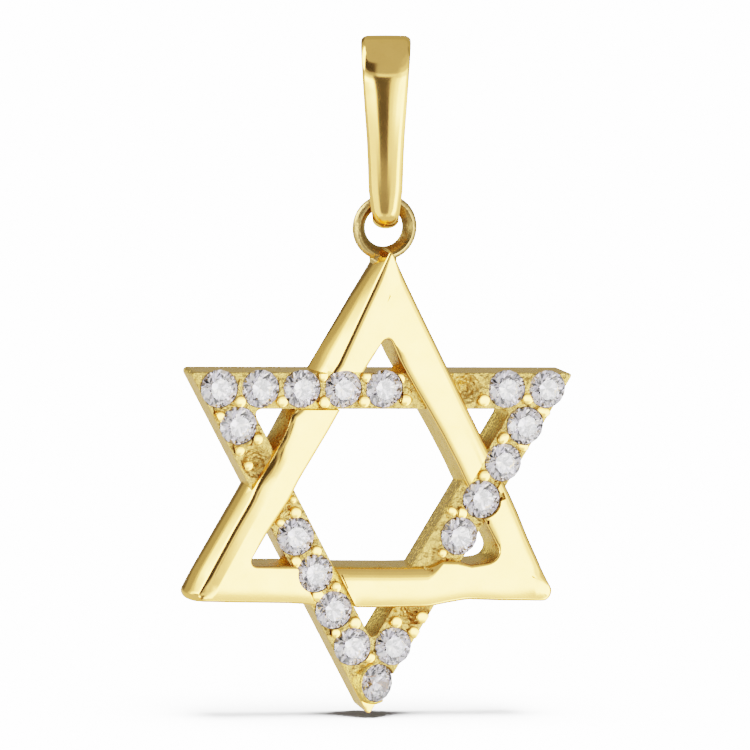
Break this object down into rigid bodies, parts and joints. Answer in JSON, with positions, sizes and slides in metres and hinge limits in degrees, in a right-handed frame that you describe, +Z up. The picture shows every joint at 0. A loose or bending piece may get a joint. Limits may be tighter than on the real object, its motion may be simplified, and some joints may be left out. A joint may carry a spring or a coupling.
{
  "type": "star pendant with bail",
  "caption": "Gold pendant: two interlaced triangles forming a six-pointed star, one plain and one set with round clear stones, hanging by a soldered ring from a tapered strap bail.",
  "frame": {"origin": "chain seat: the inside top of the bail, where the chain it hangs from would lie", "axes": "+Z up, along the pendant as it hangs; -Y towards the viewer, the side with the stones; +X to the viewer's right. The star hangs plumb in the XZ plane; the bail is turned 18 degrees out of that plane and leans 2.4 degrees, as in the picture."},
  "size_m": [0.0154, 0.0037, 0.0268],
  "materials": {
    "gold": "polished yellow gold, as cast on the hidden inner walls",
    "stone": "clear colourless faceted stone"
  },
  "bodies": {
    "bail": {"bail": "gold"},
    "star": {"star": "gold", "stone_01": "stone", "stone_02": "stone", "stone_03": "stone", "stone_04": "stone", "stone_05": "stone", "stone_06": "stone", "stone_07": "stone", "stone_08": "stone", "stone_09": "stone", "stone_10": "stone", "stone_11": "stone", "stone_12": "stone", "stone_13": "stone", "stone_14": "stone", "stone_15": "stone", "stone_16": "stone", "stone_17": "stone", "stone_18": "stone"}
  },
  "joints": [
    {"name": "star_swing", "type": "hinge", "parent": "bail", "child": "star", "pos_m": [0.00024, -0.00008, -0.00605], "axis": [0.9511, -0.309, 0], "range_deg": [-105, 105]}
  ]
}
